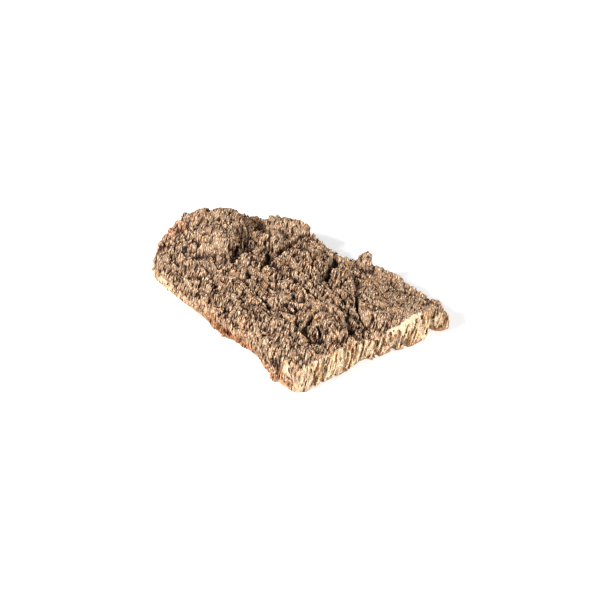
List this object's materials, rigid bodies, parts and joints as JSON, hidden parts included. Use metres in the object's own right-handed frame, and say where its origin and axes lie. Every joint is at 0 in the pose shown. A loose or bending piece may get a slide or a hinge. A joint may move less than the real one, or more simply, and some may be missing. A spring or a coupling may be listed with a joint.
{
  "type": "cork bark flat",
  "caption": "Rugged natural slab of virgin cork bark with one sawn end, torn sides, a humped and cracked outer face and a flat inner face it lies on.",
  "frame": {"origin": "middle of the bounding box, on the plane of the flat inner face", "axes": "+X along the trunk's grain towards the sawn end, +Y towards the higher back edge, +Z out through the rugged outer face"},
  "size_m": [0.3146, 0.2042, 0.0503],
  "materials": {
    "cork_bark": "rough natural cork bark, unsealed"
  },
  "bodies": {
    "root": {"cork_bark": "cork_bark"}
  },
  "joints": []
}
